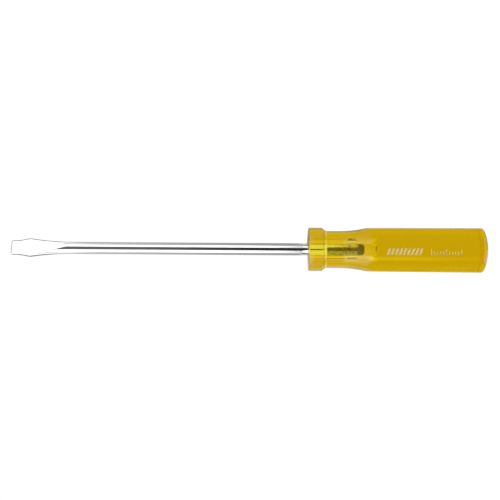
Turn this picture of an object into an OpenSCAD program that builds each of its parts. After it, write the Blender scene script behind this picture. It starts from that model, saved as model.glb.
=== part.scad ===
// Slotted screwdriver with a flared, forged tip and a see-through eight-sided handle.
// The origin is the centre of the tip's end face. +X runs from the tip to the butt of the handle,
// and +Z is up, square to the flat of the grip that carries the stamped marks.

/* [Blade] */
// Length of the blade that stands out of the handle
reach = 150; // [75:5:200]
// Diameter of the round shank
shank_d = 6.2; // [5.6:0.1:6.6]
// Width of the blade at its working end
tip_w = 7.5; // [7:0.1:8.5]
// Thickness of the blade at its working end
tip_t = 1.1; // [0.8:0.1:1.4]
// Length of the parallel end that enters the screw's slot
tip_flat = 2; // [1:0.5:3]
// Radius of the two corners of the working end
tip_corner_r = 1; // [0.4:0.1:1.4]
// Distance from the working end to where the blade starts to flare
flare_start = 3; // [2:0.5:5]
// Width of the blade at the widest point of its flare
flare_w = 9.4; // [8.6:0.1:10.4]
// Distance from the working end to the widest point of the flare
flare_x = 10; // [8:0.5:12]
// Distance from the working end to where the flare has run into the shank
flare_end = 31; // [28:1:36]
// Slope of each forged flat against the axis, in degrees
wedge_angle = 6.1; // [5.5:0.1:6.6]
// Radius of the curve in which each flat runs out into the shank
runout_r = 100; // [80:5:120]
// Roll of the forged flats about the axis, away from the stamped flat of the grip, in degrees
tip_roll = 22.5; // [0:0.5:45]

/* [Tang] */
// Length of the tang inside the handle
tang_len = 29.2; // [27:0.1:32]
// Diameter of the tang's end face, inside its chamfer
tang_end_d = 4.4; // [3:0.1:5]
// Distance from the handle's front to the start of the pinched wings
wing_x = 20; // [16:0.1:21]
// Length of the wings along the tang
wing_len = 5.3; // [4:0.1:6]
// Width from the edge of one wing to the edge of the other
wing_span = 7.8; // [7.2:0.1:8.6]
// Thickness of the wings
wing_t = 1.6; // [1.2:0.1:2.2]
// Depth of the press marks between the wings
pinch_depth = 0.8; // [0.4:0.1:1]
// Roll of the wings about the axis, in degrees
wing_roll = -10; // [-45:1:45]

/* [Handle] */
// Length of the handle
handle_len = 91.2; // [88:0.1:100]
// Diameter of the collar
collar_d = 22; // [21:0.1:24]
// Length of the collar up to its rear chamfer
collar_len = 7.2; // [6:0.1:8]
// Length of the collar's rear chamfer
collar_slope = 2.3; // [1.6:0.1:2.6]
// How far the collar's front face bulges
front_bulge = 0.5; // [0.3:0.1:0.8]
// Diameter of the neck
neck_d = 18.8; // [18:0.1:19.6]
// Distance from the handle's front to the end of the straight neck
neck_end = 16.1; // [14:0.1:18]
// Distance from the handle's front to where the ridges of the grip start
grip_start = 32.5; // [30:0.1:36]
// Distance across opposite flats of the grip, carried forward to the handle's front
flats_front = 21.63; // [21.4:0.01:22.2]
// Distance across opposite flats of the grip, at its butt
flats_rear = 22.45; // [22.2:0.01:22.6]
// Distance across opposite rounded ridges, as a multiple of the distance across flats
ridge_ratio = 1.052; // [1.02:0.002:1.07]
// Radius of the domed butt
butt_r = 27; // [24:1:36]
// Radius of the ball surface that rounds the edge between grip and butt
butt_edge_r = 13.7; // [12.6:0.1:18]
// Distance from the end of the butt to where that rounding starts on the ridges
butt_edge = 4.2; // [3:0.1:6]
// Depth of the bore that holds the tang
bore_depth = 34.8; // [34:0.1:42]
// Gap between the tang and the bore, all round
bore_gap = 0.03; // [0.01:0.01:0.08]
// Thickness of the scar that each wing leaves as it is pressed in
scar_t = 0.3; // [0.2:0.05:0.5]

/* [Stamps] */
// Depth of both stamps' sunk beds
bed_depth = 0.2; // [0.12:0.01:0.3]
// Thickness of the foil at the bottom of its bed
foil_t = 0.1; // [0.05:0.01:0.11]
// Sideways shift of both stamps from the middle of the flat
stamp_shift = -0.85; // [-1.2:0.05:1.2]
// Distance from the handle's front to the slanted bars
band_x = 38.8; // [38:0.1:42]
// Number of slanted bars
band_bars = 9; // [5:1:9]
// Pitch of the slanted bars
band_pitch = 2; // [1.8:0.1:2]
// Width of each slanted bar
band_bar_w = 1.2; // [0.8:0.1:1.4]
// Height of the slanted bars across the flat
band_h = 3.4; // [2.4:0.1:3.6]
// Lean of the slanted bars, in degrees
band_lean = 20; // [10:1:25]
// Distance from the handle's front to the first tick
scale_x = 60.9; // [60:0.1:64]
// Number of ticks
scale_ticks = 11; // [6:1:11]
// Pitch of the ticks
scale_pitch = 1.5; // [1.2:0.1:1.5]
// Width of each tick
tick_w = 0.5; // [0.4:0.05:0.7]
// Height of the long ticks, one in five
tick_long = 2.8; // [2.4:0.1:3.2]
// Height of the short ticks
tick_short = 1.6; // [1.2:0.1:2]

/* [Hidden] */
$fn = 96;

shank_r = shank_d / 2;
neck_r = neck_d / 2;
collar_r = collar_d / 2;
collar_edge_r = 0.8;
chamfer_len = 1.2;
wing_corner = 0.8;
mark_r = 3;
// Cutters reach this far past the surface that they open.
overlap = 1;

// The curve of each flat's run-out rises this far above the shank, so that it cuts the shank cleanly.
runout_rise = 0.1;
runout_top = shank_r + runout_rise;
// Where the sloping flat and the run-out's level meet when they are drawn as two straight lines.
wedge_meet = tip_flat + (runout_top - tip_t / 2) / tan(wedge_angle);
runout_end = wedge_meet + runout_r * tan(wedge_angle / 2);

// Half the distance across flats at a distance x behind the handle's front.
flat_slope = (flats_rear - flats_front) / 2 / handle_len;
function flat_r(x) = flats_front / 2 + flat_slope * x;
function ridge_r(x) = flat_r(x) * ridge_ratio;
flat_angle = atan(flat_slope);

// The hollow curve leaves the neck along its line and meets the ridges at grip_start.
cove_len = grip_start - neck_end;
cove_rise = ridge_r(grip_start) - neck_r;
cove_r = (pow(cove_len, 2) + pow(cove_rise, 2)) / (2 * cove_rise);

// The crown of the flare is a small arc. In front of it is a straight slope, and behind it is a long hollow
// curve that leaves the shank along its line.
crown_r = 5;
flare_rise = flare_w / 2 - shank_r;
flare_len = flare_end - flare_x;
flare_r = (pow(flare_len, 2) + pow(flare_rise, 2)) / (2 * flare_rise) - crown_r;
crown_rear = asin(flare_len / (flare_r + crown_r));
slope_x = flare_x - flare_start;
slope_y = (flare_w - tip_w) / 2 - crown_r;
crown_front = asin(crown_r / norm([slope_x, slope_y])) + atan(slope_y / slope_x);

// A curve that runs out along a surface dips this far below it, so that the two cross cleanly.
bite = 0.01;
// The rounded corners of the tip stand out this far, for the same reason.
corner_cross = 0.05;

// Centres of the butt's dome and of the ball surface that rounds its edge, both on the axis.
dome_x = handle_len - butt_r;
edge_x = handle_len - butt_edge - sqrt(pow(butt_edge_r, 2) - pow(ridge_r(handle_len - butt_edge), 2));

// Centre of the collar's front bulge.
front_edge_r = collar_r - collar_edge_r;
front_r = (pow(front_edge_r, 2) + pow(front_bulge, 2)) / (2 * front_bulge);
front_angle = asin(front_edge_r / front_r);

// Points [x, y] on an arc about [cx, cy], angles measured from +X towards +Y.
function arc(cx, cy, r, from, to, steps) =
    [for (i = [0 : steps]) let (a = from + (to - from) * i / steps) [cx + r * cos(a), cy + r * sin(a)]];

// Turns a flat outline, drawn with the radius as its Y, about the X axis.
module turned() {
    rotate([0, 90, 0])
        rotate_extrude()
            mirror([1, -1])
                children();
}

// The round stock of the blade: flare, shank and chamfered tang.
module blade_stock() {
    tang_end = reach + tang_len;
    crown = arc(flare_x, flare_w / 2 - crown_r, crown_r, 90 + crown_front, 90 - crown_rear, 4);
    turned()
        difference() {
            polygon(concat(
                [[0, 0], [0, tip_w / 2], [flare_start, tip_w / 2]],
                crown,
                [[flare_end, flare_w / 2], [flare_end, shank_r], [tang_end - chamfer_len, shank_r]],
                [[tang_end, tang_end_d / 2], [tang_end, 0]]
            ));
            translate([flare_end, shank_r - bite + flare_r])
                circle(flare_r);
        }
}

// The blade seen square to its flats, with its two corners rounded.
module tip_corners() {
    inset = tip_corner_r - corner_cross;
    linear_extrude(2 * flare_w, center = true) {
        translate([inset, -flare_w])
            square([reach + tang_len, 2 * flare_w]);
        translate([-inset, inset - tip_w / 2])
            square([2 * inset, tip_w - 2 * inset]);
        for (side = [-1, 1])
            translate([inset, side * (tip_w / 2 - inset)])
                circle(tip_corner_r);
    }
}

// The slab between the two forged flats, full thickness behind the run-out.
module wedge() {
    run = arc(runout_end, runout_top - runout_r, runout_r, 90 + wedge_angle, 90, 8);
    upper = concat([[0, tip_t / 2], [tip_flat, tip_t / 2]], run);
    lower = [for (i = [len(upper) - 1 : -1 : 0]) [upper[i][0], -upper[i][1]]];
    rotate([90, 0, 0])
        linear_extrude(2 * flare_w, center = true)
            polygon(concat(upper, lower));
}

// Everything behind the run-out, where the stock stays round.
module behind_the_wedge() {
    translate([runout_end, 0, 0])
        rotate([0, 90, 0])
            cylinder(d = 2 * flare_w, h = reach + tang_len);
}

// The two wings, as one flat plate through the tang. The gap widens it all round.
module wings(gap = 0) {
    half = wing_span / 2 + gap;
    front = wing_x - gap;
    rear = wing_x + wing_len + gap;
    rotate([wing_roll, 0, 0])
        translate([reach, 0, 0])
            linear_extrude(wing_t + 2 * gap, center = true)
                polygon([
                    [front, wing_corner - half], [front + wing_corner, -half],
                    [rear - wing_corner, -half], [rear, wing_corner - half],
                    [rear, half - wing_corner], [rear - wing_corner, half],
                    [front + wing_corner, half], [front, half - wing_corner]
                ]);
}

// The two round-bottomed press marks that pushed the wings out.
module pinch_marks() {
    for (side = [-1, 1])
        rotate([wing_roll, 0, 0])
            translate([reach + wing_x + wing_len / 2, 0, side * (shank_r - pinch_depth + mark_r)])
                rotate([90, 0, 0])
                    cylinder(r = mark_r, h = 2 * shank_d, center = true);
}

module blade() {
    color("gainsboro")
        difference() {
            union() {
                intersection() {
                    blade_stock();
                    rotate([-tip_roll, 0, 0])
                        tip_corners();
                    rotate([-tip_roll, 0, 0])
                        union() {
                            wedge();
                            behind_the_wedge();
                        }
                }
                wings();
            }
            pinch_marks();
        }
}

// A flat outline with no end at the front, which ends in an arc about a point on the axis.
module ball_ended(centre_x, radius) {
    translate([centre_x, 0])
        circle(radius);
    square([centre_x, collar_d]);
}

// The handle before its flats are cut: collar, neck, hollow curve, ridges and butt.
module handle_blank() {
    bulge = arc(front_r, 0, front_r, 180, 180 - front_angle, 4);
    edge = arc(front_bulge + collar_edge_r, front_edge_r, collar_edge_r, 180 - front_angle, 90, 6);
    translate([reach, 0, 0])
        turned()
            intersection() {
                difference() {
                    polygon(concat(
                        bulge,
                        edge,
                        [[collar_len, collar_r], [collar_len + collar_slope, neck_r], [neck_end, neck_r]],
                        [[neck_end, ridge_r(neck_end)], [handle_len, ridge_r(handle_len)], [handle_len, 0]]
                    ));
                    translate([neck_end, neck_r - bite + cove_r])
                        circle(cove_r);
                }
                ball_ended(dome_x, butt_r);
                ball_ended(edge_x, butt_edge_r);
            }
}

// Cuts one flat of the grip, the one that faces +Z, behind the collar.
module flat_cutter() {
    size = 2 * handle_len;
    translate([reach, 0, flats_front / 2])
        rotate([0, -flat_angle, 0])
            translate([collar_len + collar_slope, -size / 2, 0])
                cube([size, size, size]);
}

// The bore, the pocket around the wings and the scars that the wings cut on their way in.
module bore() {
    translate([reach - overlap, 0, 0])
        rotate([0, 90, 0])
            cylinder(r = shank_r + bore_gap, h = bore_depth + overlap);
    wings(bore_gap);
    rotate([wing_roll, 0, 0])
        translate([reach - overlap, -wing_span / 2, -scar_t / 2])
            cube([overlap + wing_x + wing_len / 2, wing_span, scar_t]);
}

// Places a flat outline on the stamped flat, at a depth below it, and gives it a thickness.
module on_flat(depth, thickness) {
    translate([reach, 0, flats_front / 2])
        rotate([0, -flat_angle, 0])
            translate([0, stamp_shift, -depth])
                linear_extrude(thickness)
                    children();
}

// The slanted bars.
module band_outline() {
    lean = band_h * tan(band_lean);
    for (i = [0 : band_bars - 1])
        translate([band_x + i * band_pitch, -band_h / 2])
            polygon([[0, 0], [band_bar_w, 0], [band_bar_w + lean, band_h], [lean, band_h]]);
}

// The ruler ticks, with a long one at each fifth.
module scale_outline() {
    for (i = [0 : scale_ticks - 1]) {
        tick_h = i % 5 == 0 ? tick_long : tick_short;
        translate([scale_x + i * scale_pitch, -tick_long / 2])
            square([tick_w, tick_h]);
    }
}

module handle() {
    color("gold", 0.6)
        difference() {
            handle_blank();
            for (i = [0 : 7])
                rotate([45 * i, 0, 0])
                    flat_cutter();
            bore();
            on_flat(bed_depth, bed_depth + overlap) {
                band_outline();
                scale_outline();
            }
        }
}

module stamp_band() {
    color("lightgoldenrodyellow")
        on_flat(bed_depth, foil_t)
            band_outline();
}

module stamp_scale() {
    color("lightgoldenrodyellow")
        on_flat(bed_depth, foil_t)
            scale_outline();
}

blade();
handle();
stamp_band();
stamp_scale();
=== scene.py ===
"""The looks of a slotted screwdriver: a chromed blade, its winged tang seen through a clear amber handle.

Lengths are in millimetres in the object's own frame, and become metres where a mesh is made. X runs from
the tip to the butt and Z is up. An angle about the axis is measured from +Z towards +Y.
"""

import math

import bmesh
import bpy
import numpy as np
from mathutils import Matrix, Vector


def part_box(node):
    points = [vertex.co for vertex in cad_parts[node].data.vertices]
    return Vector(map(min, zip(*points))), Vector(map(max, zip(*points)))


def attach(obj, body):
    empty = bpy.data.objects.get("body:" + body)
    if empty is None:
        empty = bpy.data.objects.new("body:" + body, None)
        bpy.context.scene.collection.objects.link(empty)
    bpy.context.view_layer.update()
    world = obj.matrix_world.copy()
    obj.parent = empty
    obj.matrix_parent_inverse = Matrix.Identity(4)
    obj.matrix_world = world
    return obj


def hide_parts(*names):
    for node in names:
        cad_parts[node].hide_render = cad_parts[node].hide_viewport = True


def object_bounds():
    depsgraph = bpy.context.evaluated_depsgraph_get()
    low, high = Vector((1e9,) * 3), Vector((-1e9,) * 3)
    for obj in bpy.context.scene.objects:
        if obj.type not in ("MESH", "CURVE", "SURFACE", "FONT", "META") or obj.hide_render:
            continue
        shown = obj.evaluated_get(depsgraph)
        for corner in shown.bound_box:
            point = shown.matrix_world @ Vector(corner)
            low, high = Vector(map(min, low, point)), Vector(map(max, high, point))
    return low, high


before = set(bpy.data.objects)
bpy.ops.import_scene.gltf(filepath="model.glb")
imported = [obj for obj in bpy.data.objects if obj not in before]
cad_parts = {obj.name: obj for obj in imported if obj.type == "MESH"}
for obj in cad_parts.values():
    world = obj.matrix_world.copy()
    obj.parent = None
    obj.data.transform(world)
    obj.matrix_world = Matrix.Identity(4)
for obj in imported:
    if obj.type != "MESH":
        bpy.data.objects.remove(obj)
cad_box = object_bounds()

MM = 0.001
BODY = "root"

# ---------------------------------------------------------------- sizes
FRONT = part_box("handle")[0].x / MM  # the handle's front face
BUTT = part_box("handle")[1].x / MM
TANG_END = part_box("blade")[1].x / MM
HANDLE_LEN = BUTT - FRONT

SHANK_R = 3.1
TIP_HALF_W = 3.75
TIP_HALF_T = 0.55
TIP_FLAT = 2.0
TIP_CORNER_R = 1.0
TIP_EDGE_R = 0.3  # rounding of the worn edge of the end face
FLARE_START = 3.0
FLARE_X = 10.0
FLARE_HALF_W = 4.7
FLARE_END = 31.0
WEDGE_ANGLE = math.radians(6.1)
RUNOUT_R = 100.0
RUNOUT_RISE = 0.1
TIP_ROLL = math.radians(22.5)

WING_START = 20.0
WING_END = 25.3
WING_HALF_SPAN = 3.9
WING_HALF_T = 0.8
WING_SLANT = 0.8  # length over which a wing's ends slope up to their full span
WING_ROLL = math.radians(10)
PINCH_DEPTH = 0.8
PINCH_R = 3.0
CHAMFER_LEN = 1.2
TANG_END_R = 2.2
HEAD_BLEND = 0.05  # rounding of the edges between the flats and the outline
HEAD_STEP = 0.5  # from ring to ring
END_BEVEL = 0.06

COLLAR_R = 11.0
COLLAR_LEN = 7.2
COLLAR_SLOPE = 2.3
COLLAR_EDGE_R = 0.8
COLLAR_TOP_R = 0.35  # rounding where the collar's slope begins
COLLAR_FOOT_R = 0.7  # and where it ends on the neck
FRONT_BULGE = 0.5
NECK_R = 9.4
NECK_END = 16.1
GRIP_START = 32.5
COVE_OVER = 0.15  # how far the cove's end rises over the ridges
FLATS_FRONT = 21.63 / 2
FLATS_REAR = 22.45 / 2
GRIP_BLEND = 0.2  # rounding of the edges where the flats run into turned surfaces
RIDGE_FILLET = 3.4
BUTT_R = 27.0
BUTT_EDGE_R = 2.8
BORE_R = 3.13
BORE_DEPTH = 34.8
WING_GAP = 0.03
SCAR_HALF_T = 0.15

BED_DEPTH = 0.2
BED_MARGIN = 0.03  # room round each mark
BED_FLOOR_GAP = 0.01
FOIL_T = 0.1
FOIL_BEVEL = 0.02
STAMP_SHIFT = -0.85
STEP = 1e-3  # length of a sudden step between two rings
SHARP_ANGLE = 30  # degrees above which an edge stays crisp


# ---------------------------------------------------------------- mesh helpers
def arc(cx, cy, r, start, end, steps):
    """Points on an arc about (cx, cy), with angles in degrees from +X towards +Y."""
    angles = np.radians(np.linspace(start, end, steps + 1))
    return [(cx + r * math.cos(a), cy + r * math.sin(a)) for a in angles]


def straight(x0, y0, x1, y1, steps):
    """Points along a line, without its first point."""
    return [(x0 + (x1 - x0) * i / steps, y0 + (y1 - y0) * i / steps) for i in range(1, steps + 1)]


def smooth_min(a, b, width):
    """The lower of two values, with the corner between them rounded over about this width."""
    h = np.clip(0.5 + 0.5 * (b - a) / width, 0, 1)
    return b * (1 - h) + a * h - width * h * (1 - h)


def quadrant_angles(breaks, steps):
    """Angles round the axis. Each quarter holds the same steps, shared out by breaks of (share, degrees)."""
    shares, degrees = zip(*breaks)
    quarter = np.radians(np.interp(np.linspace(0, 1, steps + 1), shares, degrees))[:-1]
    half = np.concatenate([quarter, [math.pi / 2], math.pi - quarter[:0:-1]])
    return np.concatenate([half, half + math.pi])


def make_object(name, mesh, material=None):
    obj = bpy.data.objects.new(name, mesh)
    bpy.context.scene.collection.objects.link(obj)
    if material:
        mesh.materials.append(material)
    return obj


def skin(name, rows, angles_of, radius_of):
    """A closed mesh of rings about the X axis. Rows are (x, outline radius), and radius 0 makes a pole."""
    verts, rings = [], []
    for x, outline in rows:
        if outline <= 1e-9:
            rings.append([len(verts)])
            verts.append((x * MM, 0, 0))
            continue
        angles = angles_of(x)
        radii = radius_of(x, outline, angles)
        rings.append(list(range(len(verts), len(verts) + len(angles))))
        verts += [(x * MM, r * math.sin(a) * MM, r * math.cos(a) * MM) for a, r in zip(angles, radii)]
    faces = []
    for near, far in zip(rings, rings[1:]):
        count = max(len(near), len(far))
        for i in range(count):
            j = (i + 1) % count
            if len(near) == 1:
                faces.append((near[0], far[i], far[j]))
            elif len(far) == 1:
                faces.append((near[i], far[0], near[j]))
            else:
                faces.append((near[i], far[i], far[j], near[j]))
    mesh = bpy.data.meshes.new(name)
    mesh.from_pydata(verts, [], faces)
    mesh.update()
    return face_outward(mesh)


def face_outward(mesh):
    bm = bmesh.new()
    bm.from_mesh(mesh)
    bmesh.ops.recalc_face_normals(bm, faces=bm.faces)
    bm.to_mesh(mesh)
    bm.free()
    return mesh


def prisms(name, outlines, low, high, to_space):
    """Upright prisms on flat outlines, from one height to another, placed by to_space(x, y, height)."""
    bm = bmesh.new()
    for outline in outlines:
        bottom = [bm.verts.new(to_space(x, y, low)) for x, y in outline]
        top = [bm.verts.new(to_space(x, y, high)) for x, y in outline]
        bm.faces.new(bottom[::-1])
        bm.faces.new(top)
        for i in range(len(outline)):
            j = (i + 1) % len(outline)
            bm.faces.new((bottom[i], bottom[j], top[j], top[i]))
    bmesh.ops.recalc_face_normals(bm, faces=bm.faces)
    mesh = bpy.data.meshes.new(name)
    bm.to_mesh(mesh)
    bm.free()
    return mesh


def cut(obj, cutter_mesh):
    """Takes the cutter's volume away from obj, for good."""
    cutter = make_object("cutter", cutter_mesh)
    modifier = obj.modifiers.new("cut", "BOOLEAN")
    modifier.operation = "DIFFERENCE"
    modifier.solver = "MANIFOLD"
    modifier.object = cutter
    evaluated = obj.evaluated_get(bpy.context.evaluated_depsgraph_get())
    mesh = bpy.data.meshes.new_from_object(evaluated)
    obj.modifiers.remove(modifier)
    obj.data = mesh
    bpy.data.objects.remove(cutter)


def shade(mesh):
    """Smooth shading that keeps the sharp edges crisp."""
    mesh.shade_smooth()
    mesh.set_sharp_from_angle(angle=math.radians(SHARP_ANGLE))


# ---------------------------------------------------------------- blade
RUNOUT_TOP = SHANK_R + RUNOUT_RISE
WEDGE_MEET = TIP_FLAT + (RUNOUT_TOP - TIP_HALF_T) / math.tan(WEDGE_ANGLE)
RUNOUT_END = WEDGE_MEET + RUNOUT_R * math.tan(WEDGE_ANGLE / 2)
RUNOUT_START = RUNOUT_END - RUNOUT_R * math.sin(WEDGE_ANGLE)
BLADE_STEPS = 40  # steps in a quarter turn


def flat_height(x):
    """Distance from the axis to the forged flat."""
    if x < TIP_EDGE_R:
        return TIP_HALF_T - TIP_EDGE_R + math.sqrt(TIP_EDGE_R**2 - (TIP_EDGE_R - x) ** 2)
    if x < TIP_FLAT:
        return TIP_HALF_T
    if x < RUNOUT_START:
        return TIP_HALF_T + (x - TIP_FLAT) * math.tan(WEDGE_ANGLE)
    drop = RUNOUT_END - x
    return RUNOUT_TOP - RUNOUT_R + math.sqrt(RUNOUT_R**2 - drop**2)


def flare_half_width(x):
    if x <= FLARE_START:
        return TIP_HALF_W
    if x < FLARE_X:
        t = (x - FLARE_START) / (FLARE_X - FLARE_START)
        return TIP_HALF_W + (FLARE_HALF_W - TIP_HALF_W) * t * t * (3 - 2 * t)
    t = max(0.0, 1 - (x - FLARE_X) / (FLARE_END - FLARE_X))
    return SHANK_R + (FLARE_HALF_W - SHANK_R) * t * t


def plate_radius(angles, half_t, half_span):
    """Distance from the axis to the faces of a flat plate that spans ±Y before its roll."""
    c = np.maximum(np.abs(np.cos(angles)), 1e-6)
    s = np.maximum(np.abs(np.sin(angles)), 1e-6)
    return np.minimum(half_t / c, half_span / s)


def plate_breaks(half_t, half_span, core_r):
    """Breaks for quadrant_angles that fall on a plate's corners and where it leaves a round core."""
    root = math.degrees(math.acos(half_t / core_r))
    corner = math.degrees(math.atan2(half_span, half_t))
    return [(0, 0), (0.6, root), (0.8, corner), (1, 90)]


def blade_roll(x):
    """The rings follow the flats' roll in the head, and come round to the wings' in the handle."""
    t = np.clip((x - RUNOUT_END) / (FRONT - RUNOUT_END), 0, 1)
    return TIP_ROLL * (1 - t) + WING_ROLL * t


def blade_angles(x):
    if x > FRONT:
        breaks = plate_breaks(WING_HALF_T, WING_HALF_SPAN, SHANK_R)
        return quadrant_angles(breaks, BLADE_STEPS) + WING_ROLL
    edge = 25.0  # degrees from the flat's middle to its edge, or more where the flat is wider
    if x < RUNOUT_END:
        ratio = min(1.0, flat_height(x) / flare_half_width(x))
        edge = max(edge, math.degrees(math.acos(ratio)))
    return quadrant_angles([(0, 0), (0.4, edge), (1, 90)], BLADE_STEPS) + blade_roll(x)


def blade_radius(x, outline, angles):
    if x < RUNOUT_END:
        flat = flat_height(x) / np.maximum(np.abs(np.cos(angles - TIP_ROLL)), 1e-6)
        return smooth_min(np.full_like(angles, outline), flat, HEAD_BLEND)
    radii = np.full_like(angles, outline)
    along = x - FRONT
    if WING_START <= along <= WING_END:
        ramp = min(along - WING_START, WING_END - along, WING_SLANT)
        span = WING_HALF_SPAN - WING_SLANT + ramp
        turned = angles - WING_ROLL
        radii = np.maximum(radii, plate_radius(turned, WING_HALF_T, span))
        off = along - (WING_START + WING_END) / 2
        mark = SHANK_R - PINCH_DEPTH + PINCH_R - math.sqrt(max(0.0, PINCH_R**2 - off**2))
        radii = np.minimum(radii, mark / np.maximum(np.abs(np.cos(turned)), 1e-6))
    return radii


def blade_rows():
    rows = [(0, 0), (0, TIP_HALF_W - TIP_CORNER_R - END_BEVEL)]
    rows += arc(TIP_CORNER_R, TIP_HALF_W - TIP_CORNER_R, TIP_CORNER_R, 180, 90, 10)[1:]
    rows += [(x, flare_half_width(x)) for x in np.arange(TIP_CORNER_R + HEAD_STEP, RUNOUT_END, HEAD_STEP)]
    rows += straight(RUNOUT_END, SHANK_R, FRONT, SHANK_R, 40)
    wing = [(FRONT + x, SHANK_R) for x in np.linspace(WING_START, WING_END, 25)]
    rows += [(FRONT + 0.5, SHANK_R), (FRONT + WING_START - STEP, SHANK_R)]
    rows += wing
    rows += [(FRONT + WING_END + STEP, SHANK_R), (TANG_END - CHAMFER_LEN, SHANK_R)]
    rows += [(TANG_END, TANG_END_R), (TANG_END, 0)]
    return rows


# ---------------------------------------------------------------- handle
FLAT_SLOPE = (FLATS_REAR - FLATS_FRONT) / HANDLE_LEN
HALF_SIDE = math.pi / 8
GRIP_STEPS = 24  # steps in an eighth turn


def flat_radius(along):
    """Half the distance across flats, at a distance behind the handle's front."""
    return FLATS_FRONT + FLAT_SLOPE * along


def ridge_radius(along):
    return (flat_radius(along) - RIDGE_FILLET) / math.cos(HALF_SIDE) + RIDGE_FILLET


def octagon_radius(along, angles):
    """Distance from the axis to the rounded octagon."""
    flat = flat_radius(along)
    turn = np.abs((angles + HALF_SIDE) % (2 * HALF_SIDE) - HALF_SIDE)
    centre = (flat - RIDGE_FILLET) / math.cos(HALF_SIDE)
    off = HALF_SIDE - turn
    tangent = math.atan2((flat - RIDGE_FILLET) * math.tan(HALF_SIDE), flat)
    rounded = centre * np.cos(off) + np.sqrt(RIDGE_FILLET**2 - (centre * np.sin(off)) ** 2)
    return np.where(turn < tangent, flat / np.cos(turn), rounded)


def handle_angles(x):
    """Close together on the ridges and wide apart on the flats."""
    half = np.interp(np.linspace(0, 1, GRIP_STEPS // 2 + 1), [0, 0.34, 1], [0, 15.0, 22.5])
    side = np.radians(np.concatenate([half[:-1], 45 - half[::-1]]))[:-1]
    return np.concatenate([side + 2 * HALF_SIDE * i for i in range(8)])


def handle_radius(x, outline, angles):
    along = x - FRONT
    if along < NECK_END:
        return np.full_like(angles, outline)
    return smooth_min(np.full_like(angles, outline), octagon_radius(along, angles), GRIP_BLEND)


def handle_rows():
    """The turned outline: front face, collar, neck, cove and domed butt. The octagon sets the grip."""
    front_edge = COLLAR_R - COLLAR_EDGE_R
    front_r = (front_edge**2 + FRONT_BULGE**2) / (2 * FRONT_BULGE)
    front_angle = math.degrees(math.asin(front_edge / front_r))
    rise = ridge_radius(GRIP_START) - NECK_R + COVE_OVER
    cove_len = GRIP_START - NECK_END
    cove_r = (cove_len**2 + rise**2) / (2 * rise)
    cove_angle = math.degrees(math.asin(cove_len / cove_r))
    edge_y = ridge_radius(HANDLE_LEN) - BUTT_EDGE_R
    dome_x = HANDLE_LEN - BUTT_R
    edge_x = dome_x + math.sqrt((BUTT_R - BUTT_EDGE_R) ** 2 - edge_y**2)
    edge_angle = math.degrees(math.asin(edge_y / (BUTT_R - BUTT_EDGE_R)))
    slope = math.degrees(math.atan2(COLLAR_R - NECK_R, COLLAR_SLOPE))
    half_slope = math.tan(math.radians(slope / 2))
    foot_x = COLLAR_LEN + COLLAR_SLOPE + COLLAR_FOOT_R * half_slope
    top_x = COLLAR_LEN - COLLAR_TOP_R * half_slope

    rows = [(front_r - front_r * math.cos(a), front_r * math.sin(a))
            for a in np.radians(np.linspace(0, front_angle, 8))]
    rows += arc(FRONT_BULGE + COLLAR_EDGE_R, front_edge, COLLAR_EDGE_R, 180 - front_angle, 90, 8)[1:]
    rows += straight(rows[-1][0], COLLAR_R, top_x, COLLAR_R, 4)
    rows += arc(top_x, COLLAR_R - COLLAR_TOP_R, COLLAR_TOP_R, 90, 90 - slope, 4)[1:]
    rows += arc(foot_x, NECK_R + COLLAR_FOOT_R, COLLAR_FOOT_R, 270 - slope, 270, 6)
    rows += straight(foot_x, NECK_R, NECK_END, NECK_R, 4)
    rows += arc(NECK_END, NECK_R + cove_r, cove_r, 270, 270 + cove_angle, 60)[1:]
    overshoot = ridge_radius(GRIP_START) + 1.0  # clear of the octagon, which then sets the surface
    grip_first, grip_last = GRIP_START + 0.3, edge_x - 1.0
    rows += [(grip_first, overshoot)]
    rows += straight(grip_first, overshoot, grip_last, overshoot, 12)
    rows += arc(edge_x, edge_y, BUTT_EDGE_R, 90, edge_angle, 20)
    rows += arc(dome_x, 0, BUTT_R, edge_angle, 0, 24)[1:]
    return [(FRONT + x, max(0.0, r)) for x, r in rows]


def bore_angles(x):
    along = x - FRONT
    if WING_START <= along <= WING_END:
        breaks = plate_breaks(WING_HALF_T + WING_GAP, WING_HALF_SPAN, BORE_R)
    else:
        breaks = plate_breaks(SCAR_HALF_T, WING_HALF_SPAN, BORE_R)
    return quadrant_angles(breaks, BLADE_STEPS) + WING_ROLL


def bore_radius(x, outline, angles):
    along = x - FRONT
    radii = np.full_like(angles, outline)
    turned = angles - WING_ROLL
    if WING_START <= along <= WING_END:
        ramp = min(along - WING_START, WING_END - along, WING_SLANT)
        span = WING_HALF_SPAN - WING_SLANT + ramp + WING_GAP
        return np.maximum(radii, plate_radius(turned, WING_HALF_T + WING_GAP, span))
    if along < WING_START:
        return np.maximum(radii, plate_radius(turned, SCAR_HALF_T, WING_HALF_SPAN))
    return radii


def bore_rows():
    before_front = -1.0
    marks = [before_front, WING_START - STEP]
    marks += list(np.linspace(WING_START, WING_START + WING_SLANT, 3))
    marks += list(np.linspace(WING_END - WING_SLANT, WING_END, 3))
    marks += [WING_END + STEP, BORE_DEPTH]
    rows = [(FRONT + x, BORE_R) for x in marks]
    return [(rows[0][0], 0)] + rows + [(rows[-1][0], 0)]


# ---------------------------------------------------------------- stamps
BAND = {"x": 38.8, "bars": 9, "pitch": 2.0, "width": 1.2, "height": 3.4, "lean": math.radians(20)}
SCALE = {"x": 60.9, "ticks": 11, "pitch": 1.5, "width": 0.5, "long": 2.8, "short": 1.6}


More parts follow.
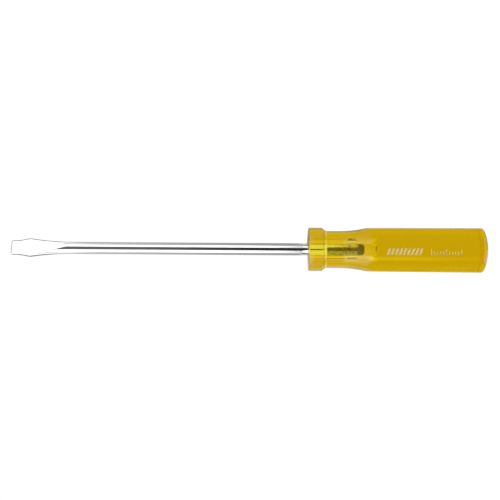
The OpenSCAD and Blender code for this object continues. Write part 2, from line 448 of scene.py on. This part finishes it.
def band_outlines(grow=0.0):
    """Slanted bars."""
    b = BAND
    low, high = -b["height"] / 2 - grow, b["height"] / 2 + grow
    lean = math.tan(b["lean"])
    out = []
    for i in range(b["bars"]):
        x = b["x"] + i * b["pitch"]
        near, far = -grow, b["width"] + grow
        corners = [(near, low), (far, low), (far, high), (near, high)]
        out.append([(x + (y + b["height"] / 2) * lean + side, y) for side, y in corners])
    return out


def scale_outlines(grow=0.0):
    """Ruler ticks, with a long one at each fifth."""
    s = SCALE
    low = -s["long"] / 2
    out = []
    for i in range(s["ticks"]):
        x = s["x"] + i * s["pitch"]
        high = low + (s["long"] if i % 5 == 0 else s["short"])
        out.append([(x - grow, low - grow), (x + s["width"] + grow, low - grow),
                    (x + s["width"] + grow, high + grow), (x - grow, high + grow)])
    return out


def on_stamped_flat(x, y, height):
    """A point x behind the handle's front, raised by height along the normal of the stamped flat."""
    return Vector((FRONT + x - height * FLAT_SLOPE, y + STAMP_SHIFT, flat_radius(x) + height)) * MM


# ---------------------------------------------------------------- material helpers
class Nodes:
    """A short way to write a node tree."""

    def __init__(self, tree):
        self.tree = tree
        tree.nodes.clear()

    def add(self, kind, inputs=None, **settings):
        node = self.tree.nodes.new("ShaderNode" + kind)
        for key, value in settings.items():
            setattr(node, key, value)
        for key, value in (inputs or {}).items():
            self.feed(node.inputs[key], value)
        return node

    def feed(self, socket, value):
        if isinstance(value, bpy.types.NodeSocket):
            self.tree.links.new(value, socket)
        elif isinstance(value, bpy.types.Node):
            self.tree.links.new(value.outputs[0], socket)
        else:
            socket.default_value = value

    def math(self, operation, a, b=0.0, clamp=False):
        return self.add("Math", {0: a, 1: b}, operation=operation, use_clamp=clamp).outputs[0]

    def ramp(self, value, low, high, to_low=0.0, to_high=1.0):
        """A smooth change from to_low at low to to_high at high, held beyond both."""
        node = self.add("MapRange", {"Value": value, "From Min": low, "From Max": high,
                                     "To Min": to_low, "To Max": to_high})
        node.interpolation_type = "SMOOTHSTEP"
        return node.outputs[0]

    def window(self, value, low, high, soft):
        """1 between low and high, fading to 0 over twice this softness at each end."""
        rise = self.ramp(value, low - soft, low + soft)
        return self.math("MULTIPLY", rise, self.ramp(value, high - soft, high + soft, 1.0, 0.0))

    def ramp_mm(self, value, low, high, to_low=0.0, to_high=1.0):
        """A ramp between two places given in millimetres, on a value in metres."""
        return self.ramp(value, low * MM, high * MM, to_low, to_high)

    def window_mm(self, value, low, high, soft):
        """A window between two places given in millimetres, on a value in metres."""
        return self.window(value, low * MM, high * MM, soft * MM)

    def mix(self, factor, a, b):
        return self.add("Mix", {0: factor, 2: a, 3: b}).outputs[0]

    def mix_color(self, factor, a, b):
        node = self.add("Mix", data_type="RGBA")
        self.feed(node.inputs[0], factor)
        self.feed(node.inputs[6], a)
        self.feed(node.inputs[7], b)
        return node.outputs[2]

    def mirror_ray(self):
        """1 on a ray that a mirror surface sends, and 0 on a refracted ray or any other."""
        path = self.add("LightPath").outputs
        return self.math("SUBTRACT", path["Is Glossy Ray"], path["Is Transmission Ray"], clamp=True)


def new_material(name):
    material = bpy.data.materials.new(name)
    material.use_nodes = True
    return material, Nodes(material.node_tree)


def rgb(r, g, b):
    return (r, g, b, 1.0)


def grey(level):
    return rgb(level, level, level)


WHITE = grey(1.0)


# ---------------------------------------------------------------- amber plastic
ACETATE_IOR = 1.48
ABSORB = (12.0, 18.0, 200.0)  # per metre: red, green, blue
EDGE_TINT = 0.5  # darkest tint of light that enters at a grazing angle
DIMMED_SHINE = 0.45  # painted shade on the reflection: strength of the outer shine on the +Y side, where the -Y side has all of it
HAZE = 0.06  # share of the light that the surface scatters
HAZE_COLOR = rgb(0.9, 0.6, 0.02)
GLOW_COLOR = rgb(0.92, 0.68, 0.02)
GLOW_SHARE = 0.6  # how far the glow replaces light that mirrors to and fro inside the plastic

# Tints set where the photo shows a band or a line that these optics don't give. Each place is a
# start, an end and a softness in millimetres, along from the handle's front or across from the axis.
# Painted highlight: a bright band along one ridge of the grip, fading towards the butt.
RIDGE_ACROSS = (-5.3, -3.4, 0.4)
RIDGE_START = (28.0, 31.0)
RIDGE_FADE = (45.0, 80.0)
RIDGE_LEFT = 0.3  # strength that the ridge's band keeps to the end
RIDGE_PAINTED_HIGHLIGHT = rgb(1.19, 1.27, 2.0)
# Painted shade: a darker ring on the collar's slope.
SHOULDER_ALONG = (7.9, 9.15, 0.15)
SHOULDER_PAINTED_SHADE = rgb(0.86, 0.86, 0.8)
# Painted highlight: a bright ring at the foot of the collar's slope.
FOOT_ALONG = (9.25, 9.85, 0.1)
FOOT_PAINTED_HIGHLIGHT = rgb(1.22, 1.30, 2.0)
RING_LEAN = 12.5  # height for each millimetre along, so that a ring looks upright to the camera
# Painted light: a more orange line near the butt.
BUTT_LINE_ALONG = (86.2, 87.3, 0.4)
BUTT_LINE_ACROSS = (-6.0, 4.0, 2.0)
BUTT_LINE_PAINTED_TINT = rgb(1.04, 0.82, 1.0)


def paint_light_bands(n, place, outside, color):
    """Paints highlight and shade bands and lines onto the light that enters the plastic, at the places above.
    """
    x, y, z = n.add("SeparateXYZ", {0: place}).outputs
    along = n.math("DIVIDE", n.math("SUBTRACT", x, FRONT * MM), MM)
    ridge = n.math("MULTIPLY", n.window_mm(y, *RIDGE_ACROSS), n.ramp(along, *RIDGE_START))
    ridge = n.math("MULTIPLY", ridge, n.ramp(along, *RIDGE_FADE, 1.0, RIDGE_LEFT))
    leaning = n.math("ADD", along, n.math("DIVIDE", z, RING_LEAN * MM))
    shoulder = n.window(leaning, *SHOULDER_ALONG)
    foot = n.window(leaning, *FOOT_ALONG)
    butt_line = n.math("MULTIPLY", n.window(along, *BUTT_LINE_ALONG), n.window_mm(y, *BUTT_LINE_ACROSS))
    tints = [(ridge, RIDGE_PAINTED_HIGHLIGHT), (shoulder, SHOULDER_PAINTED_SHADE), (foot, FOOT_PAINTED_HIGHLIGHT), (butt_line, BUTT_LINE_PAINTED_TINT)]
    for where, tint in tints:
        color = n.mix_color(n.math("MULTIPLY", where, outside), color, tint)
    return color


def amber_acetate():
    """Clear amber plastic: a sharp surface over a volume that swallows blue and some red and green."""
    material, n = new_material("amber_acetate")
    place = n.add("TexCoord").outputs["Object"]
    inner_side = n.add("NewGeometry").outputs["Backfacing"]
    outside = n.math("SUBTRACT", 1.0, inner_side)

    lengthwise = n.add("Mapping", {"Vector": place, "Scale": (0.06, 1.0, 1.0)}).outputs[0]
    wave = n.add("TexNoise", {"Vector": lengthwise, "Scale": 900.0, "Detail": 3.0, "Roughness": 0.5})
    bump = n.add("Bump", {"Strength": 0.015, "Distance": 0.0001, "Height": wave.outputs[0]})
    fresnel = n.add("Fresnel", {"IOR": ACETATE_IOR, "Normal": bump})

    grazing = n.ramp(n.add("LayerWeight", {"Blend": 0.5}).outputs["Facing"], 0.45, 0.85)
    entering = n.mix_color(n.math("MULTIPLY", grazing, outside), WHITE, grey(EDGE_TINT))
    # Painted highlight and shade bands on the light that enters the plastic.
    entering = paint_light_bands(n, place, outside, entering)
    through = n.add("BsdfRefraction", {"Color": entering, "Roughness": 0.0, "IOR": ACETATE_IOR,
                                       "Normal": bump})
    y = n.add("SeparateXYZ", {0: place}).outputs[1]
    # Painted shade: the outer shine is weaker on the +Y side.
    dimmed_side = n.math("MULTIPLY", n.ramp_mm(y, -1.0, 1.0), outside)
    shine_color = n.mix_color(dimmed_side, WHITE, grey(DIMMED_SHINE))
    shine = n.add("BsdfGlossy", {"Color": shine_color, "Roughness": 0.03, "Normal": bump})
    clear = n.add("MixShader", {0: fresnel, 1: through, 2: shine})
    hazy = n.add("MixShader", {0: HAZE, 1: clear, 2: n.add("BsdfDiffuse", {"Color": HAZE_COLOR})})

    trapped = n.math("MULTIPLY", n.mirror_ray(), inner_side)
    glow = n.add("Emission", {"Color": GLOW_COLOR, "Strength": 1.0})
    surface = n.add("MixShader", {0: n.math("MULTIPLY", trapped, GLOW_SHARE), 1: hazy, 2: glow})
    strongest = max(ABSORB)
    tint = rgb(*(1 - a / strongest for a in ABSORB))
    volume = n.add("VolumeAbsorption", {"Color": tint, "Density": strongest})
    n.add("OutputMaterial", {"Surface": surface, "Volume": volume})
    return material


# ---------------------------------------------------------------- steel
CHROME = rgb(0.60, 0.60, 0.61)
CHROME_END = (8.5, 9.5)  # behind the handle's front, where the bright chrome gives way to the dull tang
# Painted shade: a dark rim round the head, in from its outline as seen from above.
PAINTED_RIM_SHADE = grey(0.15)
RIM_WIDTH = (0.35, 0.65)  # in from the outline seen from above, where the painted dark rim fades out
RIM_END_WIDTH = (0.35, 0.6)  # the same, in from the end face
RIM_ALONG = (16.0, 28.0)  # from the tip, where the rim leaves the head

# The tang's stripes, set as they show through the handle. Places are across from the axis, or along
# from the handle's front.
STRIPE_LOW_END = (-0.75, -0.45)
STRIPE_HIGH_START = (0.7, 1.1)
STRIPE_LOW = (rgb(0.17, 0.17, 0.11), rgb(0.24, 0.24, 0.18))  # clean, stained
# Painted shade: the dark middle stripe.
PAINTED_DARK_STRIPE = rgb(0.05, 0.035, 0.02)
# Painted highlight: the bright upper stripe, dimmer behind.
PAINTED_BRIGHT_STRIPE = (grey(0.6), rgb(0.34, 0.33, 0.30))  # in front, behind
STRIPE_HIGH_CHANGE = (10.0, 22.0)
TANG_DARK_END = (24.8, 26.0)
TANG_END_COLOR = rgb(0.03, 0.02, 0.01)


# Painted highlight and shade stripes along the tang, over a lower stripe with stains.
def tang_color(n, x, y, cloudy):
    low = n.mix_color(n.ramp(cloudy, 0.35, 0.65), *STRIPE_LOW)
    change_start, change_end = STRIPE_HIGH_CHANGE
    high = n.mix_color(n.ramp_mm(x, FRONT + change_start, FRONT + change_end), *PAINTED_BRIGHT_STRIPE)
    color = n.mix_color(n.ramp_mm(y, *STRIPE_LOW_END), low, PAINTED_DARK_STRIPE)
    color = n.mix_color(n.ramp_mm(y, *STRIPE_HIGH_START), color, high)
    dark_start, dark_end = TANG_DARK_END
    return n.mix_color(n.ramp_mm(x, FRONT + dark_start, FRONT + dark_end), color, TANG_END_COLOR)


def blade_color(n, x):
    """Chrome with painted shade in a narrow rim round the head, in from its outline seen from above."""
    inset = n.add("Attribute", attribute_name="inset").outputs["Fac"]
    rim = n.math("MAXIMUM", n.ramp(inset, *RIM_WIDTH, 1.0, 0.0), n.ramp_mm(x, *RIM_END_WIDTH, 1.0, 0.0))
    rim = n.math("MULTIPLY", rim, n.ramp_mm(x, *RIM_ALONG, 1.0, 0.0))
    return n.mix_color(rim, CHROME, PAINTED_RIM_SHADE)


def chromed_steel():
    """Bright chrome on the blade, and dull metal on the tang beyond the first millimetres in the handle."""
    material, n = new_material("chromed_steel")
    place = n.add("TexCoord").outputs["Object"]
    x, y, _ = n.add("SeparateXYZ", {0: place}).outputs
    chrome_last, tang_first = CHROME_END
    on_tang = n.ramp_mm(x, FRONT + chrome_last, FRONT + tang_first)
    lengthwise = n.add("Mapping", {"Vector": place, "Scale": (0.03, 1.0, 1.0)}).outputs[0]
    fine = n.add("TexNoise", {"Vector": lengthwise, "Scale": 6000.0, "Detail": 2.0}).outputs[0]
    cloudy = n.add("TexNoise", {"Vector": place, "Scale": 300.0, "Detail": 4.0}).outputs[0]
    polished = n.ramp(fine, 0.3, 0.7, 0.035, 0.06)
    dull = n.ramp(cloudy, 0.3, 0.7, 0.22, 0.36)
    bump = n.add("Bump", {"Strength": 0.08, "Distance": 0.00005, "Height": fine})
    surface = n.add("BsdfPrincipled", {
        "Base Color": n.mix_color(on_tang, blade_color(n, x), tang_color(n, x, y, cloudy)),
        "Metallic": 1.0,
        "Roughness": n.mix(on_tang, polished, dull),
        "Normal": bump,
    })
    n.add("OutputMaterial", {"Surface": surface})
    return material


# ---------------------------------------------------------------- foil
FOIL_THIN = rgb(0.52, 0.40, 0.13)
FOIL_FULL = rgb(0.64, 0.50, 0.19)


def stamp_foil():
    """Pale satin foil, a little patchy where the die pressed unevenly."""
    material, n = new_material("stamp_foil")
    place = n.add("TexCoord").outputs["Object"]
    patches = n.add("TexNoise", {"Vector": place, "Scale": 1500.0, "Detail": 4.0}).outputs[0]
    color = n.mix_color(n.ramp(patches, 0.35, 0.65), FOIL_THIN, FOIL_FULL)
    surface = n.add("BsdfPrincipled", {"Base Color": color, "Metallic": 0.0,
                                       "Roughness": n.ramp(patches, 0.3, 0.7, 0.5, 0.3)})
    n.add("OutputMaterial", {"Surface": surface})
    return material


# ---------------------------------------------------------------- light
# A direction is given by its tilt, in degrees from straight up towards either side, and by x, its lengthwise
# part, which grows towards the butt. A level is a brightness, and 1 is the white of the picture. A pair holds
# a value for plain rays and one for rays that the plastic refracted.
GAP_TILT = (27.0, 9.0)  # where the camera's dark gap ends and the soft light begins
GAP_SOFT = 3.0
BOX_TILTS = (80.0, 69.0)  # where the soft light ends, on the -Y side and on the +Y side
BOX_SOFT = 5.0
ENDS_START = (0.55, 0.2)  # the size of x from which the light changes to that of the room's ends
ENDS_FULL = (0.9, 0.4)
REFRACTED_LAMP = 1.8
REFRACTED_ROOM = 1.0
REFRACTED_ENDS = 1.8
WHITE_TO_CAMERA = 1.05


def studio_light(world):
    """Two long soft lights beside the camera, a dark gap between them, and a grey room beyond.

    The levels are tuned by direction, so that chrome and plastic show the photo's tones from its own view.
    """
    world.use_nodes = True
    n = Nodes(world.node_tree)
    x, y, z = n.add("SeparateXYZ", {0: n.add("TexCoord").outputs["Generated"]}).outputs
    path = n.add("LightPath").outputs

    def pick(plain, refracted):
        return n.mix(path["Is Transmission Ray"], plain, refracted)

    tilt = n.math("ABSOLUTE", n.math("DEGREES", n.math("ARCTAN2", y, z)))
    gap_tilt = pick(*GAP_TILT)
    lit = n.ramp(tilt, n.math("SUBTRACT", gap_tilt, GAP_SOFT), n.math("ADD", gap_tilt, GAP_SOFT))
    box_tilt = n.ramp(y, -0.01, 0.01, *BOX_TILTS)
    past_box = n.ramp(tilt, n.math("SUBTRACT", box_tilt, BOX_SOFT), n.math("ADD", box_tilt, BOX_SOFT))

    # Each of these changes from the tip's side to the butt's.
    gap = n.ramp(x, -0.15, 0.03, 0.2, 0.04)
    lamp = n.math("MULTIPLY", n.ramp(x, 0.01, 0.05, 2.2, 1.4), n.ramp(x, 0.052, 0.062, 1.0, 0.15))
    room = n.ramp(x, -0.16, 0.05, 0.66, 0.50)
    not_over_grip = n.ramp(x, 0.08, 0.12, 1.0, 0.0)
    level = n.mix(lit, gap, pick(lamp, REFRACTED_LAMP))
    level = n.mix(past_box, level, pick(room, REFRACTED_ROOM))
    level = n.math("MULTIPLY", level, pick(not_over_grip, 1.0))

    at_ends = n.ramp(n.math("ABSOLUTE", x), pick(*ENDS_START), pick(*ENDS_FULL))
    ends = n.ramp(z, 0.0, 0.5, 0.75, 0.3)
    level = n.mix(at_ends, level, pick(ends, REFRACTED_ENDS))
    behind_butt = n.math("MULTIPLY", n.ramp(x, 0.3, 0.4), n.ramp(x, 0.75, 0.85, 2.5, 0.0))
    level = n.math("ADD", level, pick(behind_butt, 0.0))
    level = n.mix(path["Is Camera Ray"], level, WHITE_TO_CAMERA)
    n.add("OutputWorld", {"Surface": n.add("Background", {"Color": WHITE, "Strength": level})})


# ---------------------------------------------------------------- floor
FLOOR_HALF = 3.0  # metres
FLOOR_GAP = 0.2  # below the tool
FLOOR_WHITE = 1.02
MIRRORED_BY_HEAD = 1.8
MIRRORED_UNDER_HANDLE = 1.0
FLOOR_THROUGH_PLASTIC = rgb(0.74, 0.53, 0.05)


def mirrored_floor(n):
    """Its level in a mirror: bright beside the head, white under the handle, grey or black elsewhere."""
    x, y, _ = n.add("SeparateXYZ", {0: n.add("NewGeometry").outputs["Position"]}).outputs
    away = n.math("ABSOLUTE", y)
    level = n.ramp(x, 0.04, 0.15, 0.75, 0.52)
    beside_head = n.math("MULTIPLY", n.ramp(x, 0.02, 0.03, 1.0, 0.0), n.ramp(away, 0.02, 0.035))
    level = n.mix(beside_head, level, MIRRORED_BY_HEAD)
    slant = n.math("DIVIDE", n.math("SUBTRACT", x, FRONT * MM), n.math("MAXIMUM", away, 0.03))
    far_behind = n.math("MULTIPLY", n.ramp(slant, 0.4, 0.6), n.ramp(x, 0.35, 0.6))
    level = n.math("MULTIPLY", level, n.math("MAXIMUM", n.ramp(slant, 0.08, 0.13, 1.0, 0.0), far_behind))
    under_handle = n.math("MULTIPLY", n.ramp_mm(x, FRONT - 5, FRONT), n.ramp(away, 0.03, 0.06, 1.0, 0.0))
    return n.mix(under_handle, level, MIRRORED_UNDER_HANDLE)


def pale_floor():
    """A lit table: white to the camera, grey in a mirror, amber through the plastic and clear from below."""
    low, high = cad_box
    middle = (low.x + high.x) / 2
    z = low.z - FLOOR_GAP * MM
    corners = [(middle + i * FLOOR_HALF, j * FLOOR_HALF, z) for i, j in ((-1, -1), (1, -1), (1, 1), (-1, 1))]
    mesh = bpy.data.meshes.new("floor")
    mesh.from_pydata(corners, [], [(0, 1, 2, 3)])
    material, n = new_material("floor")
    level = n.mix(n.mirror_ray(), FLOOR_WHITE, mirrored_floor(n))
    refracted = n.add("LightPath").outputs["Is Transmission Ray"]
    color = n.mix_color(refracted, WHITE, FLOOR_THROUGH_PLASTIC)
    glow = n.add("Emission", {"Color": color, "Strength": level})
    below = n.add("NewGeometry").outputs["Backfacing"]
    surface = n.add("MixShader", {0: below, 1: glow, 2: n.add("BsdfTransparent")})
    n.add("OutputMaterial", {"Surface": surface})
    make_object("floor", mesh, material)


# ---------------------------------------------------------------- camera
CAMERA_PLACE = (121.06, -0.5, 500.0)
CAMERA_WIDTH = 253.7  # what it sees across the picture, at the tool's axis
CAMERA_TURN = math.radians(0.38)


def place_camera():
    """Straight above the tool, level with the middle of the picture, and turned a third of a degree."""
    camera = bpy.data.cameras.new("camera")
    camera.lens = camera.sensor_width * CAMERA_PLACE[2] / CAMERA_WIDTH
    camera.clip_end = 10.0
    obj = bpy.data.objects.new("camera", camera)
    obj.location = Vector(CAMERA_PLACE) * MM
    obj.rotation_euler = (0, 0, CAMERA_TURN)
    bpy.context.scene.collection.objects.link(obj)
    bpy.context.scene.camera = obj


# ---------------------------------------------------------------- build
def finish_piece(obj, material, node):
    obj.data.materials.clear()  # a cut leaves an empty slot
    obj.data.materials.append(material)
    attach(obj, BODY)
    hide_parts(node)


def measure_inset(mesh):
    """Stores each point's distance in from the blade's outline, as seen from above, in millimetres."""
    points = [(round(vertex.co.x / MM, 3), abs(vertex.co.y) / MM) for vertex in mesh.vertices]
    outline = {}
    for x, side in points:
        outline[x] = max(side, outline.get(x, 0.0))
    values = [outline[x] - side for x, side in points]
    mesh.attributes.new("inset", "FLOAT", "POINT").data.foreach_set("value", values)


def build_blade(material):
    obj = make_object("blade_chromed", skin("blade_chromed", blade_rows(), blade_angles, blade_radius))
    measure_inset(obj.data)
    shade(obj.data)
    finish_piece(obj, material, "blade")


def build_handle(material):
    obj = make_object("handle_clear", skin("handle_clear", handle_rows(), handle_angles, handle_radius))
    cut(obj, skin("bore", bore_rows(), bore_angles, bore_radius))
    beds = band_outlines(BED_MARGIN) + scale_outlines(BED_MARGIN)
    above_flat = 1.0
    cut(obj, prisms("beds", beds, -BED_DEPTH - BED_FLOOR_GAP, above_flat, on_stamped_flat))
    shade(obj.data)
    finish_piece(obj, material, "handle")


def build_stamp(name, outlines, material, node):
    mesh = prisms(name, outlines, -BED_DEPTH, FOIL_T - BED_DEPTH, on_stamped_flat)
    obj = make_object(name, mesh)
    bevel = obj.modifiers.new("worn edge", "BEVEL")
    bevel.width = FOIL_BEVEL * MM
    bevel.segments = 2
    finish_piece(obj, material, node)


def main():
    scene = bpy.context.scene
    build_blade(chromed_steel())
    build_handle(amber_acetate())
    foil = stamp_foil()
    build_stamp("stamp_bars", band_outlines(), foil, "stamp_band")
    build_stamp("stamp_ticks", scale_outlines(), foil, "stamp_scale")

    scene.world = bpy.data.worlds.new("studio")
    studio_light(scene.world)
    pale_floor()
    place_camera()
    scene.view_settings.view_transform = "Standard"
    # Light crosses the clear handle many times.
    scene.cycles.max_bounces = 24
    scene.cycles.transmission_bounces = 24
    scene.cycles.glossy_bounces = 16
    scene.cycles.transparent_max_bounces = 16
    scene.cycles.caustics_reflective = True
    scene.cycles.caustics_refractive = True


main()
